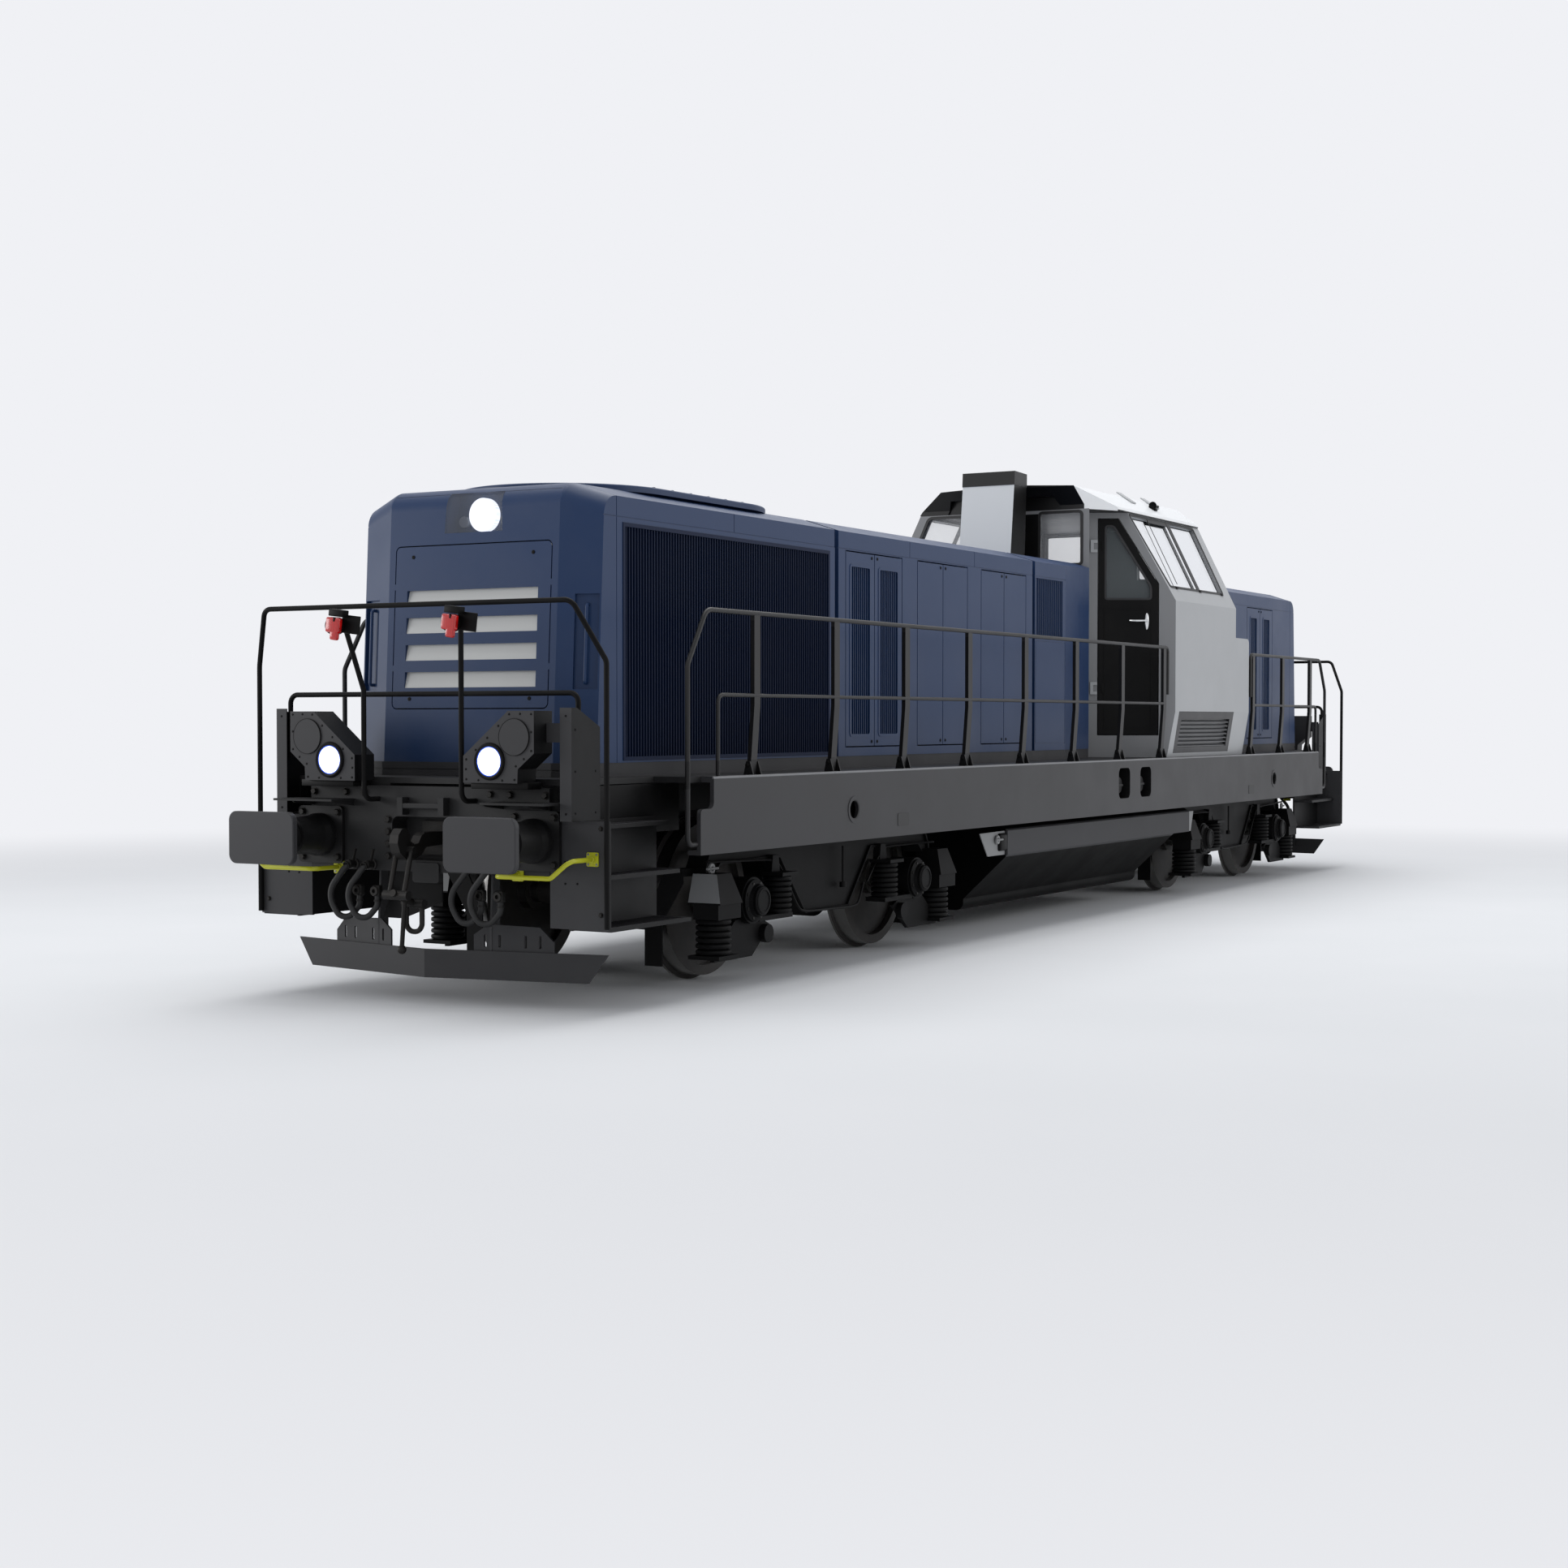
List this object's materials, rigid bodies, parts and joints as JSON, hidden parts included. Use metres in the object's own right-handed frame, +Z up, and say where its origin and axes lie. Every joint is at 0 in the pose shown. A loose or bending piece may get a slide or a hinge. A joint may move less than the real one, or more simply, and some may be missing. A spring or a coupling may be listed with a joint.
{
  "type": "diesel locomotive",
  "caption": "Four-axle diesel shunting locomotive with a long hood, a cab with two set-back corner doors and a short hood, on two pivoting bogies.",
  "frame": {"origin": "middle of the locomotive, level with the lowest point of the wheel flanges", "axes": "+X to the right side, +Y from the long hood end to the short hood end, +Z up"},
  "size_m": [2.95, 17.54, 4.2948],
  "materials": {
    "black_paint": "satin black paint",
    "cab_paint": "satin light grey paint",
    "frame_paint": "satin anthracite paint",
    "hood_paint": "satin dark blue paint",
    "hose_rubber": "matt black",
    "lamp_glass": "clear ribbed lens",
    "lamp_red": "clear red lens",
    "machine_paint": "matt grey machinery paint",
    "roof_paint": "satin pale grey paint",
    "seat_cover": "woven",
    "wheel_steel": "rolled tread, dull web",
    "window_glass": "clear",
    "yellow_paint": "gloss yellow green paint"
  },
  "bodies": {
    "locomotive": {"brake_hoses": "hose_rubber", "buffers": "frame_paint", "cab_glass": "window_glass", "cab_interior": "seat_cover", "cab_roof": "roof_paint", "cab_side_boxes": "cab_paint", "cab_walls": "cab_paint", "couplings": "frame_paint", "end_handrails": "frame_paint", "end_hatches": "hood_paint", "end_steps": "frame_paint", "engine_block": "machine_paint", "engine_hood": "hood_paint", "exhaust_tower": "roof_paint", "fan_cowl": "hood_paint", "fuel_tank": "frame_paint", "hood_grilles": "hood_paint", "lamp_glasses": "lamp_glass", "lamp_housings": "black_paint", "marker_lamps": "lamp_red", "radiator_hood": "hood_paint", "short_hood": "hood_paint", "shunter_handles": "yellow_paint", "side_handrails": "frame_paint", "side_sills": "frame_paint", "snow_ploughs": "frame_paint", "tower_hood": "hood_paint", "underframe": "frame_paint"},
    "bogie_near": {"bogie_frame_near": "frame_paint", "suspension_near": "frame_paint", "traction_motors_near": "machine_paint"},
    "cab_door_near": {"cab_door_near": "black_paint", "cab_door_glass_near": "window_glass"},
    "bogie_far": {"bogie_frame_far": "frame_paint", "suspension_far": "frame_paint", "traction_motors_far": "machine_paint"},
    "cab_door_far": {"cab_door_far": "black_paint", "cab_door_glass_far": "window_glass"},
    "wheelset_1": {"wheelset_1": "wheel_steel"},
    "wheelset_2": {"wheelset_2": "wheel_steel"},
    "wheelset_3": {"wheelset_3": "wheel_steel"},
    "wheelset_4": {"wheelset_4": "wheel_steel"},
    "roof_fan_far": {"roof_fan_far": "machine_paint"},
    "roof_fan_near": {"roof_fan_near": "machine_paint"},
    "leaf_engine_a_far_left": {"leaf_engine_a_far_left": "hood_paint"},
    "leaf_engine_a_far_right": {"leaf_engine_a_far_right": "hood_paint"},
    "leaf_engine_a_near_left": {"leaf_engine_a_near_left": "hood_paint"},
    "leaf_engine_a_near_right": {"leaf_engine_a_near_right": "hood_paint"},
    "leaf_engine_b_far_left": {"leaf_engine_b_far_left": "hood_paint"},
    "leaf_engine_b_far_right": {"leaf_engine_b_far_right": "hood_paint"},
    "leaf_engine_b_near_left": {"leaf_engine_b_near_left": "hood_paint"},
    "leaf_engine_b_near_right": {"leaf_engine_b_near_right": "hood_paint"},
    "leaf_grille_far_left": {"leaf_grille_far_left": "hood_paint"},
    "leaf_grille_far_right": {"leaf_grille_far_right": "hood_paint"},
    "leaf_grille_near_left": {"leaf_grille_near_left": "hood_paint"},
    "leaf_grille_near_right": {"leaf_grille_near_right": "hood_paint"},
    "leaf_short_far_left": {"leaf_short_far_left": "hood_paint"},
    "leaf_short_far_right": {"leaf_short_far_right": "hood_paint"},
    "leaf_short_near_left": {"leaf_short_near_left": "hood_paint"},
    "leaf_short_near_right": {"leaf_short_near_right": "hood_paint"}
  },
  "joints": [
    {"name": "bogie_near_swing", "type": "hinge", "parent": "locomotive", "child": "bogie_near", "pos_m": [0, -4.75, 0.8], "axis": [0, 0, 1], "range_deg": [-4, 4]},
    {"name": "bogie_far_swing", "type": "hinge", "parent": "locomotive", "child": "bogie_far", "pos_m": [0, 4.85, 0.8], "axis": [0, 0, 1], "range_deg": [-4, 4]},
    {"name": "axle_1", "type": "hinge", "parent": "bogie_near", "child": "wheelset_1", "pos_m": [0, -6.05, 0.58], "axis": [1, 0, 0], "continuous": true},
    {"name": "axle_2", "type": "hinge", "parent": "bogie_near", "child": "wheelset_2", "pos_m": [0, -3.45, 0.58], "axis": [1, 0, 0], "continuous": true},
    {"name": "axle_3", "type": "hinge", "parent": "bogie_far", "child": "wheelset_3", "pos_m": [0, 3.55, 0.58], "axis": [1, 0, 0], "continuous": true},
    {"name": "axle_4", "type": "hinge", "parent": "bogie_far", "child": "wheelset_4", "pos_m": [0, 6.15, 0.58], "axis": [1, 0, 0], "continuous": true},
    {"name": "roof_fan_far_spin", "type": "hinge", "parent": "locomotive", "child": "roof_fan_far", "pos_m": [0, -5.326, 3.32], "axis": [0, 0, 1], "continuous": true},
    {"name": "roof_fan_near_spin", "type": "hinge", "parent": "locomotive", "child": "roof_fan_near", "pos_m": [0, -6.554, 3.32], "axis": [0, 0, 1], "continuous": true},
    {"name": "cab_door_near_hinge", "type": "hinge", "parent": "locomotive", "child": "cab_door_near", "pos_m": [0.75452, 1.66895, 2.8], "axis": [0, 0, -1], "range_deg": [0, 80]},
    {"name": "cab_door_far_hinge", "type": "hinge", "parent": "locomotive", "child": "cab_door_far", "pos_m": [-0.75452, 3.40105, 2.8], "axis": [0, 0, -1], "range_deg": [0, 80]},
    {"name": "leaf_engine_a_far_left_hinge", "type": "hinge", "parent": "locomotive", "child": "leaf_engine_a_far_left", "pos_m": [-0.968, -2.002, 2.3], "axis": [0, 0, -1], "range_deg": [0, 58]},
    {"name": "leaf_engine_a_far_right_hinge", "type": "hinge", "parent": "locomotive", "child": "leaf_engine_a_far_right", "pos_m": [0.968, -2.002, 2.3], "axis": [0, 0, 1], "range_deg": [0, 58]},
    {"name": "leaf_engine_a_near_left_hinge", "type": "hinge", "parent": "locomotive", "child": "leaf_engine_a_near_left", "pos_m": [-0.968, -2.948, 2.3], "axis": [0, 0, 1], "range_deg": [0, 58]},
    {"name": "leaf_engine_a_near_right_hinge", "type": "hinge", "parent": "locomotive", "child": "leaf_engine_a_near_right", "pos_m": [0.968, -2.948, 2.3], "axis": [0, 0, -1], "range_deg": [0, 58]},
    {"name": "leaf_engine_b_far_left_hinge", "type": "hinge", "parent": "locomotive", "child": "leaf_engine_b_far_left", "pos_m": [-0.968, -0.737, 2.3], "axis": [0, 0, -1], "range_deg": [0, 58]},
    {"name": "leaf_engine_b_far_right_hinge", "type": "hinge", "parent": "locomotive", "child": "leaf_engine_b_far_right", "pos_m": [0.968, -0.737, 2.3], "axis": [0, 0, 1], "range_deg": [0, 58]},
    {"name": "leaf_engine_b_near_left_hinge", "type": "hinge", "parent": "locomotive", "child": "leaf_engine_b_near_left", "pos_m": [-0.968, -1.683, 2.3], "axis": [0, 0, 1], "range_deg": [0, 58]},
    {"name": "leaf_engine_b_near_right_hinge", "type": "hinge", "parent": "locomotive", "child": "leaf_engine_b_near_right", "pos_m": [0.968, -1.683, 2.3], "axis": [0, 0, -1], "range_deg": [0, 58]},
    {"name": "leaf_grille_far_left_hinge", "type": "hinge", "parent": "locomotive", "child": "leaf_grille_far_left", "pos_m": [-0.968, -3.267, 2.3], "axis": [0, 0, -1], "range_deg": [0, 58]},
    {"name": "leaf_grille_far_right_hinge", "type": "hinge", "parent": "locomotive", "child": "leaf_grille_far_right", "pos_m": [0.968, -3.267, 2.3], "axis": [0, 0, 1], "range_deg": [0, 58]},
    {"name": "leaf_grille_near_left_hinge", "type": "hinge", "parent": "locomotive", "child": "leaf_grille_near_left", "pos_m": [-0.968, -4.213, 2.3], "axis": [0, 0, 1], "range_deg": [0, 58]},
    {"name": "leaf_grille_near_right_hinge", "type": "hinge", "parent": "locomotive", "child": "leaf_grille_near_right", "pos_m": [0.968, -4.213, 2.3], "axis": [0, 0, -1], "range_deg": [0, 58]},
    {"name": "leaf_short_far_left_hinge", "type": "hinge", "parent": "locomotive", "child": "leaf_short_far_left", "pos_m": [-0.968, 6.688, 2.3], "axis": [0, 0, -1], "range_deg": [0, 58]},
    {"name": "leaf_short_far_right_hinge", "type": "hinge", "parent": "locomotive", "child": "leaf_short_far_right", "pos_m": [0.968, 6.688, 2.3], "axis": [0, 0, 1], "range_deg": [0, 58]},
    {"name": "leaf_short_near_left_hinge", "type": "hinge", "parent": "locomotive", "child": "leaf_short_near_left", "pos_m": [-0.968, 5.752, 2.3], "axis": [0, 0, 1], "range_deg": [0, 58]},
    {"name": "leaf_short_near_right_hinge", "type": "hinge", "parent": "locomotive", "child": "leaf_short_near_right", "pos_m": [0.968, 5.752, 2.3], "axis": [0, 0, -1], "range_deg": [0, 58]}
  ]
}
